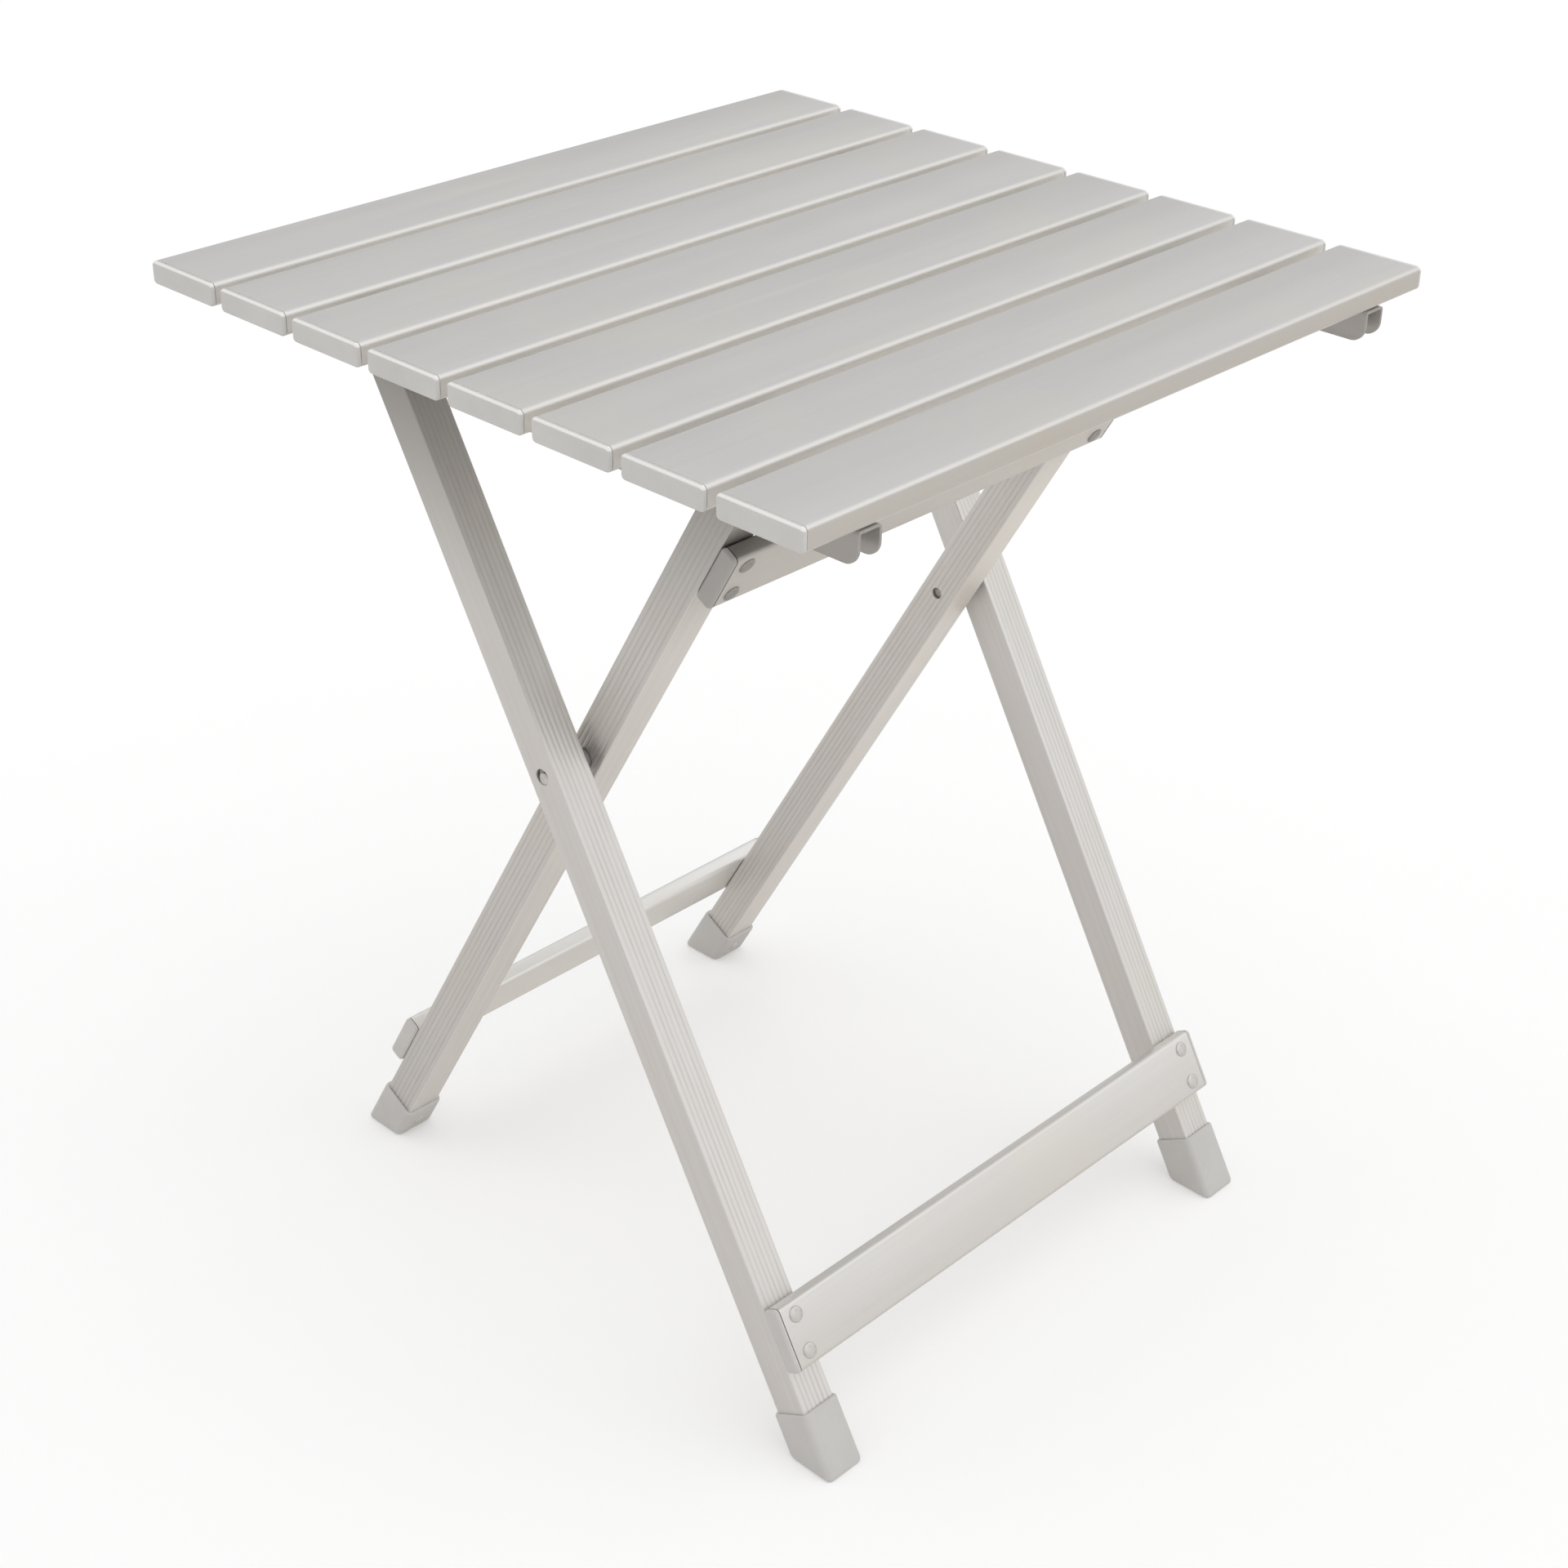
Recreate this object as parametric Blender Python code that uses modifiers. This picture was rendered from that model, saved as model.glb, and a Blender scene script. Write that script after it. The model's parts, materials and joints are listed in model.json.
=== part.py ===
"""Folding side table: a slatted aluminium top on two crossed frames of square tube.

X runs along the slats, Y from front to back and Z up. The floor is z = 0, under the middle of the top.
The outer frame stands at the front and carries the top's hinge at the back; the inner frame stands at
the back and holds up the front of the top. The two frames cross on a pair of rivets.
"""
import math

import bmesh
import bpy
from mathutils import Matrix, Vector

# Driving dimensions in metres. Lengths along a leg are measured from the rivet where the frames cross.
GAP = 0.0003
TABLE_LENGTH = 0.450
TABLE_HEIGHT = 0.562
SLAT_COUNT = 8
SLAT_WIDTH = 0.050
SLAT_SPACE = 0.007
SLAT_THICK = 0.012
SLAT_WALL = 0.0012
EDGE_RADIUS = 0.0025
CAP_THICK = 0.0025
CAP_PLUG = 0.014
CAP_BEVEL = 0.0012
CAP_BEVEL_STEPS = 3

LEAN = math.radians(30)
PIVOT_HEIGHT = 0.3366
LEG_SIZE = 0.022
LEG_WALL = 0.0013
LEG_RADIUS = 0.0012
GROOVE_COUNT = 6
GROOVE_PITCH = 0.003
GROOVE_WIDTH = 0.0010
GROOVE_DEPTH = 0.00018
OUTER_LEG_X = 0.1637
INNER_LEG_X = 0.1357
LEG_FOOT = 0.378
INNER_LEG_TOP = 0.236

BAR_WIDTH = 0.036
BAR_THICK = 0.010
FRONT_BAR_DOWN = 0.314
BACK_BAR_DOWN = 0.309
TOP_BAR_UP = 0.163
OUTER_BAR_REACH = 0.1755
INNER_BAR_REACH = 0.1474

BOOT_SIZE = 0.026
BOOT_RADIUS = 0.003
BOOT_RIM = 0.356
BOOT_BEVEL = 0.0014
BOOT_BEVEL_STEPS = 3

RAIL_INNER_X = 0.1778
RAIL_OUTER_X = 0.1920
RAIL_DROP = 0.0165
RAIL_SHEET = 0.0013
RAIL_CORNER = 0.008

HINGE_DROP = 0.0115
SHANK_RADIUS = 0.003
SHANK_HOLE = 0.0033
HEAD_RADIUS = 0.004
HEAD_HEIGHT = 0.002
WASHER_RADIUS = 0.008
SPACER_RADIUS = 0.0055
OUTER_ACCESS_HOLE = 0.0045
INNER_ACCESS_HOLE = 0.0034

PAD_PLUG = 0.012
CATCH_SIZE = (0.026, 0.008, 0.012)
CATCH_BEVEL = 0.0006

# How finely curves are drawn: steps round a full turn, and along a quarter circle by its size.
ROUND_STEPS = 24
LARGE_ARC = 6
ARC_STEPS = 4
SMALL_ARC = 3
INSIDE_ARC = 2
CHAMFER = 1
BEVEL_STEPS = 2
BEVEL_ANGLE = math.radians(40)
SHARP_ANGLE = math.radians(30)
MERGE_DISTANCE = 0.00001
TRIM_SIZE = (1, 1, 0.2)

# Sizes that follow from them.
SLAT_PITCH = SLAT_WIDTH + SLAT_SPACE
TABLE_DEPTH = SLAT_COUNT * SLAT_PITCH - SLAT_SPACE
UNDERSIDE = TABLE_HEIGHT - SLAT_THICK
LEG_HALF = LEG_SIZE / 2
HINGE_HEIGHT = UNDERSIDE - HINGE_DROP
HINGE_ARM = (HINGE_HEIGHT - PIVOT_HEIGHT) / math.cos(LEAN)
HINGE_Y = HINGE_ARM * math.sin(LEAN)
ALONG_X = (0, math.pi / 2, 0)
SIDES = (("left", -1), ("right", 1))


def clear_scene():
    """Remove whatever objects the scene holds."""
    for old in list(bpy.data.objects):
        bpy.data.objects.remove(old)


def new_collection(name):
    """Return a new collection linked to the scene."""
    group = bpy.data.collections.new(name)
    bpy.context.scene.collection.children.link(group)
    return group


def new_material(name, colour, roughness, metallic):
    """Return a Principled material with one plain finish."""
    material = bpy.data.materials.new(name)
    material.use_nodes = True
    shader = material.node_tree.nodes["Principled BSDF"]
    shader.inputs["Base Color"].default_value = (*colour, 1)
    shader.inputs["Roughness"].default_value = roughness
    shader.inputs["Metallic"].default_value = metallic
    return material


clear_scene()
PARTS = new_collection("folding_side_table")
CUTTERS = new_collection("cutters")

# Finishes: colour, roughness and metallic.
ALUMINIUM = ((0.62, 0.61, 0.59), 0.38, 0.9)
LIGHT_PLASTIC = ((0.55, 0.55, 0.54), 0.6, 0)
NYLON = ((0.30, 0.30, 0.30), 0.6, 0)
STEEL = ((0.66, 0.65, 0.64), 0.3, 1)


def add(name, mesh, finish=None):
    """Put a mesh in the scene, as a part with its own material or as a cutter."""
    body = bpy.data.objects.new(name, mesh)
    if finish is None:
        CUTTERS.objects.link(body)
        body.hide_render = True
        body.display_type = "WIRE"
    else:
        PARTS.objects.link(body)
        mesh.materials.append(new_material(name, *finish))
    return body


def place(body, parent=None, location=(0, 0, 0), rotation=(0, 0, 0)):
    """Set where an object sits under its parent."""
    body.parent = parent
    body.location = location
    body.rotation_euler = rotation
    return body


def arc(centre, radius, start, steps=ARC_STEPS):
    """Return the points of a quarter circle that starts at an angle and turns anticlockwise."""
    points = []
    for step in range(steps + 1):
        angle = start + step / steps * math.pi / 2
        points.append((centre[0] + radius * math.cos(angle), centre[1] + radius * math.sin(angle)))
    return points


def rounded(width, height, radius, steps=ARC_STEPS):
    """Return the outline of a rectangle with round corners."""
    across = width / 2 - radius
    up = height / 2 - radius
    corners = ((across, up), (-across, up), (-across, -up), (across, -up))
    points = []
    for turn, corner in enumerate(corners):
        points += arc(corner, radius, turn * math.pi / 2, steps)
    return points


def tube_outline(ribbed):
    """Return a leg's outline, with grooves along the pair of faces across the given axis."""
    points = []
    for side in range(4):
        turn = Matrix.Rotation(side * math.pi / 2, 2)
        run = []
        if side % 2 == "XY".index(ribbed):
            for groove in range(GROOVE_COUNT):
                middle = (groove - (GROOVE_COUNT - 1) / 2) * GROOVE_PITCH
                run.append((LEG_HALF, middle - GROOVE_WIDTH / 2))
                run.append((LEG_HALF - GROOVE_DEPTH, middle))
                run.append((LEG_HALF, middle + GROOVE_WIDTH / 2))
        corner = LEG_HALF - LEG_RADIUS
        run += arc((corner, corner), LEG_RADIUS, 0, SMALL_ARC)
        points += [tuple(turn @ Vector(point)) for point in run]
    return points


def extrusion(name, outlines, length, finish=None):
    """Return a bar along its own Z, centred, with the given closed outlines."""
    curve = bpy.data.curves.new(name, "CURVE")
    curve.dimensions = "2D"
    curve.fill_mode = "BOTH"
    curve.extrude = length / 2
    for outline in outlines:
        spline = curve.splines.new("POLY")
        spline.points.add(len(outline) - 1)
        spline.use_cyclic_u = True
        for point, (x, y) in zip(spline.points, outline):
            point.co = (x, y, 0, 1)
    shape = bpy.data.objects.new(name + "_curve", curve)
    CUTTERS.objects.link(shape)
    graph = bpy.context.evaluated_depsgraph_get()
    mesh = bpy.data.meshes.new_from_object(shape.evaluated_get(graph))
    bpy.data.objects.remove(shape)
    mesh.materials.clear()
    cage = bmesh.new()
    cage.from_mesh(mesh)
    bmesh.ops.remove_doubles(cage, verts=cage.verts, dist=MERGE_DISTANCE)
    bmesh.ops.recalc_face_normals(cage, faces=cage.faces)
    cage.to_mesh(mesh)
    cage.free()
    mesh.name = name
    mesh.shade_smooth()
    mesh.set_sharp_from_angle(angle=SHARP_ANGLE)
    return add(name, mesh, finish)


def box(name, size, finish=None):
    """Return a box centred on its own origin."""
    cage = bmesh.new()
    bmesh.ops.create_cube(cage, size=1)
    bmesh.ops.scale(cage, vec=size, verts=cage.verts)
    mesh = bpy.data.meshes.new(name)
    cage.to_mesh(mesh)
    cage.free()
    return add(name, mesh, finish)


def cylinder(name, radius, depth, finish=None):
    """Return a cylinder along its own Z, centred."""
    cage = bmesh.new()
    bmesh.ops.create_cone(cage, cap_ends=True, segments=ROUND_STEPS, radius1=radius, radius2=radius, depth=depth)
    mesh = bpy.data.meshes.new(name)
    cage.to_mesh(mesh)
    cage.free()
    return add(name, mesh, finish)


def turned(name, profile, finish, closed=False):
    """Return a turned piece about its own Z; the profile runs down its outer side."""
    count = len(profile)
    edges = [(start, start + 1) for start in range(count - 1)]
    if closed:
        edges.append((count - 1, 0))
    mesh = bpy.data.meshes.new(name)
    mesh.from_pydata([(radius, 0, height) for radius, height in profile], edges, [])
    body = add(name, mesh, finish)
    screw = body.modifiers.new("Turn", "SCREW")
    screw.steps = ROUND_STEPS
    screw.render_steps = ROUND_STEPS
    screw.use_merge_vertices = True
    screw.merge_threshold = MERGE_DISTANCE
    screw.use_smooth_shade = True
    return body


def rivet(name, length, finish):
    """Return a rivet with a domed head at each end and the given length between the heads."""
    reach = length / 2 + HEAD_HEIGHT
    dome = []
    for step in range(ARC_STEPS + 1):
        angle = step / ARC_STEPS * math.pi / 2
        dome.append((HEAD_RADIUS * math.sin(angle), reach - HEAD_HEIGHT * (1 - math.cos(angle))))
    upper = dome + [(SHANK_RADIUS, length / 2)]
    lower = [(radius, -height) for radius, height in reversed(upper)]
    return turned(name, upper + lower, finish)


def ring(name, outer, inner, length, finish):
    """Return a plain ring: a washer or a spacer."""
    half = length / 2
    profile = [(inner, half), (outer, half), (outer, -half), (inner, -half)]
    return turned(name, profile, finish, closed=True)


def bevel(body, width, segments=BEVEL_STEPS):
    """Round a body's sharp edges."""
    modifier = body.modifiers.new("Bevel", "BEVEL")
    modifier.width = width
    modifier.segments = segments
    modifier.limit_method = "ANGLE"
    modifier.angle_limit = BEVEL_ANGLE
    modifier.use_clamp_overlap = True


def combine(body, tool, operation="DIFFERENCE"):
    """Cut a body with a tool, join them or keep what they share."""
    modifier = body.modifiers.new(operation.title(), "BOOLEAN")
    modifier.operation = operation
    modifier.object = tool


def hollow_bar(name, width, thick, length):
    """Return a hollow flat bar along its own Z, like the slats and the crossbars."""
    outside = rounded(width, thick, EDGE_RADIUS)
    inside = rounded(width - 2 * SLAT_WALL, thick - 2 * SLAT_WALL, EDGE_RADIUS - SLAT_WALL, INSIDE_ARC)
    return extrusion(name, (outside, inside), length, ALUMINIUM)


def end_cap(name, width, thick):
    """Return the plug that closes a hollow bar: its plate stands on z = 0 and its plug reaches below."""
    plate = extrusion(name, [rounded(width, thick, EDGE_RADIUS)], CAP_THICK, LIGHT_PLASTIC)
    plate.data.transform(Matrix.Translation((0, 0, CAP_THICK / 2)))
    bevel(plate, CAP_BEVEL, CAP_BEVEL_STEPS)
    less = 2 * (SLAT_WALL + GAP)
    radius = EDGE_RADIUS - SLAT_WALL
    outline = rounded(width - less, thick - less, radius, INSIDE_ARC)
    plug = extrusion(name + "_plug", [outline], CAP_PLUG + CAP_THICK / 2)
    plug.data.transform(Matrix.Translation((0, 0, -CAP_PLUG / 2 + CAP_THICK / 4)))
    place(plug, plate)
    combine(plate, plug, "UNION")
    return plate


def capped_bar(name, parent, location, rotation, width, thick, reach):
    """Make a hollow bar along X with a cap in each end; the caps' faces are the reach from the middle."""
    length = 2 * (reach - CAP_THICK - GAP)
    bar = place(hollow_bar(name, width, thick, length), parent, location, rotation)
    for side, sign in SIDES:
        cap = end_cap(f"{name}_cap_{side}", width, thick)
        end = Vector(location) + Vector((sign * (reach - CAP_THICK), 0, 0))
        turn = Matrix.Rotation(math.pi, 4, "Y") if sign < 0 else Matrix.Identity(4)
        place(cap, parent, end, (turn @ bar.rotation_euler.to_matrix().to_4x4()).to_euler())


def empty(name, location, rotation=(0, 0, 0)):
    """Return an empty that a group of parts hangs from."""
    handle = bpy.data.objects.new(name, None)
    PARTS.objects.link(handle)
    return place(handle, None, location, rotation)


def hole(leg, parent, name, radius, x, along, depth):
    """Cut a round hole along X in a leg, at a length from the pivot."""
    drill = cylinder(name, radius, depth)
    place(drill, parent, (x, 0, along), ALONG_X)
    combine(leg, drill)


def leg_tube(name, parent, x, bottom, top, ribbed):
    """Return a leg tube along its parent's Z, between two lengths from the pivot."""
    outside = tube_outline(ribbed)
    bore = LEG_SIZE - 2 * LEG_WALL
    inside = rounded(bore, bore, LEG_RADIUS / 2, CHAMFER)
    leg = extrusion(name, (outside, inside), top - bottom, ALUMINIUM)
    leg.data.transform(Matrix.Translation((0, 0, (top + bottom) / 2)))
    return place(leg, parent, (x, 0, 0))


def boot(name, parent, x, floor):
    """Return a leg's moulded foot: a sleeve round the tube, cut flat where it stands on the floor."""
    length = LEG_FOOT - BOOT_RIM + BOOT_SIZE
    shoe = extrusion(name, [rounded(BOOT_SIZE, BOOT_SIZE, BOOT_RADIUS)], length, LIGHT_PLASTIC)
    shoe.data.transform(Matrix.Translation((0, 0, -BOOT_RIM - length / 2)))
    place(shoe, parent, (x, 0, 0))
    combine(shoe, floor)
    bevel(shoe, BOOT_BEVEL, BOOT_BEVEL_STEPS)
    sleeve = LEG_FOOT + GAP - BOOT_RIM
    socket_size = LEG_SIZE + 2 * GAP
    socket = extrusion(name + "_socket", [rounded(socket_size, socket_size, LEG_RADIUS, SMALL_ARC)], 2 * sleeve)
    place(socket, parent, (x, 0, -BOOT_RIM))
    combine(shoe, socket)
    return shoe


def outer_frame(pivot, floor):
    """Make the frame that stands at the front: legs, boots, front bar and the top's hinge pins."""
    end_reach = HINGE_ARM + LEG_HALF
    for side, sign in SIDES:
        x = sign * OUTER_LEG_X
        leg = leg_tube(f"outer_leg_{side}", pivot, x, -LEG_FOOT, end_reach + GAP, "Y")
        outline = [(-LEG_SIZE, -LEG_FOOT - LEG_SIZE), (LEG_SIZE, -LEG_FOOT - LEG_SIZE)]
        outline += [(LEG_SIZE, HINGE_ARM)] + arc((0, HINGE_ARM), LEG_HALF, 0, LARGE_ARC)
        outline += arc((0, HINGE_ARM), LEG_HALF, math.pi / 2, LARGE_ARC)[1:] + [(-LEG_SIZE, HINGE_ARM)]
        keep = extrusion(f"outer_leg_{side}_round_end", [outline], 2 * LEG_SIZE)
        upright = Matrix(((0, 0, 1), (1, 0, 0), (0, 1, 0))).to_euler()
        place(keep, pivot, (x, 0, 0), upright)
        combine(leg, keep, "INTERSECT")
        wall = sign * LEG_HALF
        hole(leg, pivot, f"outer_leg_{side}_access", OUTER_ACCESS_HOLE, x + wall, 0, LEG_HALF)
        hole(leg, pivot, f"outer_leg_{side}_rivet_hole", SHANK_HOLE, x - wall, 0, LEG_HALF)
        hole(leg, pivot, f"outer_leg_{side}_pin_hole", SHANK_HOLE, x, HINGE_ARM, 2 * LEG_SIZE)
        boot(f"front_boot_{side}", pivot, x, floor)
    front = -LEG_HALF - GAP - BAR_THICK / 2
    capped_bar("front_bar", pivot, (0, front, -FRONT_BAR_DOWN), ALONG_X, BAR_WIDTH, BAR_THICK, OUTER_BAR_REACH)


def inner_frame(pivot, floor, pad_limit):
    """Make the frame that stands at the back: legs, boots, two bars and the pads under the top."""
    for side, sign in SIDES:
        x = sign * INNER_LEG_X
        leg = leg_tube(f"inner_leg_{side}", pivot, x, -LEG_FOOT, INNER_LEG_TOP, "X")
        wall = sign * LEG_HALF
        hole(leg, pivot, f"inner_leg_{side}_access", INNER_ACCESS_HOLE, x - wall, 0, LEG_HALF)
        hole(leg, pivot, f"inner_leg_{side}_rivet_hole", SHANK_HOLE, x + wall, 0, LEG_HALF)
        boot(f"back_boot_{side}", pivot, x, floor)
        leg_pad(f"leg_pad_{side}", pivot, x, pad_limit)
    off = LEG_HALF + GAP + BAR_THICK / 2
    capped_bar("top_bar", pivot, (0, -off, TOP_BAR_UP), ALONG_X, BAR_WIDTH, BAR_THICK, INNER_BAR_REACH)
    capped_bar("back_bar", pivot, (0, off, -BACK_BAR_DOWN), ALONG_X, BAR_WIDTH, BAR_THICK, INNER_BAR_REACH)


def leg_pad(name, pivot, x, limit):
    """Make the plug in the top of an inner leg, cut parallel to the slats that rest on it."""
    pad = extrusion(name, [rounded(LEG_SIZE, LEG_SIZE, LEG_RADIUS, SMALL_ARC)], LEG_SIZE, NYLON)
    pad.data.transform(Matrix.Translation((0, 0, LEG_SIZE / 2)))
    place(pad, pivot, (x, 0, INNER_LEG_TOP + GAP))
    side = LEG_SIZE - 2 * (LEG_WALL + GAP)
    plug = extrusion(name + "_plug", [rounded(side, side, LEG_RADIUS / 2, CHAMFER)], 2 * PAD_PLUG)
    place(plug, pad)
    plug.data.transform(Matrix.Translation((0, 0, -PAD_PLUG / 2)))
    combine(pad, plug, "UNION")
    combine(pad, limit)


def top_slats(hinge):
    """Make the slats and their end caps."""
    for number in range(1, SLAT_COUNT + 1):
        y = TABLE_DEPTH / 2 - SLAT_WIDTH / 2 - (number - 1) * SLAT_PITCH
        middle = Vector((0, y, UNDERSIDE + SLAT_THICK / 2)) - hinge.location
        turn = (Matrix.Rotation(math.pi / 2, 4, "Y") @ Matrix.Rotation(math.pi / 2, 4, "Z")).to_euler()
        capped_bar(f"slat_{number}", hinge, middle, turn, SLAT_WIDTH, SLAT_THICK, TABLE_LENGTH / 2)


def side_rail(side, sign, hinge):
    """Make one rail under the slats: a channel of sheet that is open below and at both ends.

    Its flat web and its two flanges are separate straight strips, so that the channel stays open.
    """
    reach = TABLE_DEPTH / 2
    middle = (RAIL_OUTER_X + RAIL_INNER_X) / 2
    web_z = UNDERSIDE - GAP - RAIL_SHEET / 2
    web = box(f"side_rail_{side}_web", (RAIL_OUTER_X - RAIL_INNER_X, TABLE_DEPTH, RAIL_SHEET), ALUMINIUM)
    place(web, hinge, Vector((sign * middle, 0, web_z)) - hinge.location)
    top = -RAIL_SHEET - 2 * GAP
    outline = [(reach, top), (-reach, top)]
    outline += arc((-reach + RAIL_CORNER, -RAIL_DROP + RAIL_CORNER), RAIL_CORNER, math.pi)
    outline += arc((reach - RAIL_CORNER, -RAIL_DROP + RAIL_CORNER), RAIL_CORNER, 1.5 * math.pi)
    upright = Matrix(((0, 0, 1), (1, 0, 0), (0, 1, 0))).to_euler()
    for part, face in (("inner", RAIL_INNER_X + RAIL_SHEET / 2), ("outer", RAIL_OUTER_X - RAIL_SHEET / 2)):
        flange = extrusion(f"side_rail_{side}_{part}", [outline], RAIL_SHEET, ALUMINIUM)
        place(flange, hinge, Vector((sign * face, 0, UNDERSIDE)) - hinge.location, upright)
        if part == "inner":
            drill = cylinder(f"side_rail_{side}_pin_hole", SHANK_HOLE, 2 * RAIL_SHEET)
            place(drill, hinge, (sign * face, 0, 0), ALONG_X)
            combine(flange, drill)


def catch(side, sign, hinge):
    """Make one block under the slats that an inner leg's pad leans against."""
    pad_front = (UNDERSIDE - PIVOT_HEIGHT) * math.tan(LEAN) + LEG_HALF / math.cos(LEAN)
    y = -pad_front - 2 * GAP - CATCH_SIZE[1] / 2
    z = UNDERSIDE - GAP - CATCH_SIZE[2] / 2
    block = box(f"catch_{side}", CATCH_SIZE, NYLON)
    place(block, hinge, Vector((sign * INNER_LEG_X, y, z)) - hinge.location)
    bevel(block, CATCH_BEVEL)


def joints():
    """Make the rivets where the frames cross, with their spacers, and the top's hinge pins."""
    between = OUTER_LEG_X - INNER_LEG_X - LEG_SIZE
    leg_face = OUTER_LEG_X + LEG_HALF
    washer_length = RAIL_INNER_X - leg_face - 2 * GAP
    inboard = OUTER_LEG_X - LEG_HALF - GAP
    outboard = RAIL_INNER_X + RAIL_SHEET + GAP
    for side, sign in SIDES:
        middle = (sign * (OUTER_LEG_X + INNER_LEG_X) / 2, 0, PIVOT_HEIGHT)
        place(rivet(f"pivot_rivet_{side}", between + 2 * (LEG_WALL + GAP), STEEL), None, middle, ALONG_X)
        spacer = ring(f"pivot_spacer_{side}", SPACER_RADIUS, SHANK_HOLE, between - 2 * GAP, NYLON)
        place(spacer, None, middle, ALONG_X)
        pin = rivet(f"hinge_pin_{side}", outboard - inboard, STEEL)
        place(pin, None, (sign * (inboard + outboard) / 2, HINGE_Y, HINGE_HEIGHT), ALONG_X)
        washer = ring(f"hinge_washer_{side}", WASHER_RADIUS, SHANK_HOLE, washer_length, NYLON)
        place(washer, None, (sign * (RAIL_INNER_X + leg_face) / 2, HINGE_Y, HINGE_HEIGHT), ALONG_X)


def build():
    """Build the whole table."""
    outer_pivot = empty("outer_pivot", (0, 0, PIVOT_HEIGHT), (-LEAN, 0, 0))
    inner_pivot = empty("inner_pivot", (0, 0, PIVOT_HEIGHT), (LEAN, 0, 0))
    top_hinge = empty("top_hinge", (0, HINGE_Y, HINGE_HEIGHT))
    below = place(box("below_floor", TRIM_SIZE), None, (0, 0, -TRIM_SIZE[2] / 2))
    above = place(box("above_pads", TRIM_SIZE), None, (0, 0, UNDERSIDE - GAP + TRIM_SIZE[2] / 2))
    outer_frame(outer_pivot, below)
    inner_frame(inner_pivot, below, above)
    joints()
    top_slats(top_hinge)
    for side, sign in SIDES:
        side_rail(side, sign, top_hinge)
        catch(side, sign, top_hinge)


build()
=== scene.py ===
"""Looks for the folding side table: satin anodised aluminium, moulded grey plastic and small steel fixings.

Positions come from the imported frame. X runs along the slats, Y from front to back and Z up, in metres.
"""
import json
import math
from collections import namedtuple

import bmesh
import bpy
from mathutils import Matrix, Vector


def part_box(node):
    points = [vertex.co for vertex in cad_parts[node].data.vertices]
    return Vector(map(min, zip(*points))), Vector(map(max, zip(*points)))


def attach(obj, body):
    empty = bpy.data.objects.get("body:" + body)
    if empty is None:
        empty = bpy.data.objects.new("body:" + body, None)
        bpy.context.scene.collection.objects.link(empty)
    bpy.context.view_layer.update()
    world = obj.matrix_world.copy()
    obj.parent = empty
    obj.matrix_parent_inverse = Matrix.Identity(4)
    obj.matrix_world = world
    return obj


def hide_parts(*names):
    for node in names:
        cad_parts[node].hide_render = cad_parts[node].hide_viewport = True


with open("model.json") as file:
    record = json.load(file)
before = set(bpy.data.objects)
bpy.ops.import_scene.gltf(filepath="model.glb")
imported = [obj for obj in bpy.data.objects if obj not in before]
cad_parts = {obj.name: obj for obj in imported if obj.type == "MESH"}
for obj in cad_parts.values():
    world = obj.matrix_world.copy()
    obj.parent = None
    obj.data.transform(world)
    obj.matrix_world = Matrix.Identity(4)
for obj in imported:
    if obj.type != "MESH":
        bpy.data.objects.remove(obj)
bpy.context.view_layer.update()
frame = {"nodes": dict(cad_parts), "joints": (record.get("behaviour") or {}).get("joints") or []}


def middle_x(node):
    """Return where the middle of a CAD node lies along X."""
    low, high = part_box(node)
    return (low.x + high.x) / 2


SIDES = (("left", -1), ("right", 1))
FRONT, BACK = -1, 1
SLATS = 8
LEAN = math.radians(30)
PIVOT = Vector((0, 0, frame["joints"][0]["pos_m"][2]))

# A leaning frame: its body, how far it turns about X from upright, and how far out its legs' middles are.
LeaningFrame = namedtuple("LeaningFrame", "body turn leg_x")
OUTER = LeaningFrame("outer_frame", -LEAN, middle_x("outer_leg_right"))
INNER = LeaningFrame("inner_frame", LEAN, middle_x("inner_leg_right"))
LEG_HALF = 0.011

# Crossbars: their outer face, off the legs' middle plane, and their middles, up the legs from the pivot.
BAR_FACE = 0.0213
FRONT_BAR_UP = -0.314
BACK_BAR_UP = -0.309
TOP_BAR_UP = 0.163

# Every rivet head: its foot and shoulder as shares of its radius, its rim as a share of its height, where the
# rim is widest as a share of the rim, and how far the foot reaches into what it stands on.
RIVET_FOOT = 0.97
RIVET_SHOULDER = 0.985
RIVET_RIM = 0.22
RIVET_WIDEST = 0.3
RIVET_SINK = 0.0002

# A dimple: its depth as a share of the head's height, the foot of its wall and the crown of its bed as shares
# of its radius, and how far the crown and the middle rise.
DIMPLE_DEPTH = 0.35
DIMPLE_WALL = 0.86
DIMPLE_CROWN = 0.35
DIMPLE_CROWN_RISE = 0.00012
DIMPLE_MIDDLE_RISE = 0.00016

# Rivet heads on the crossbars, in the boots and in the rails.
BAR_RIVET_RADIUS = 0.0044
BAR_RIVET_HEIGHT = 0.0013
BAR_RIVET_SPREAD = 0.0103
BOOT_RIVET_RADIUS = 0.0031
BOOT_RIVET_HEIGHT = 0.0010
BOOT_RIVET_UP = -0.3705
SLAT_RIVET_RADIUS = 0.0034
SLAT_RIVET_HEIGHT = 0.0011
SLAT_RIVET_DIMPLE = 0.0012

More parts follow.
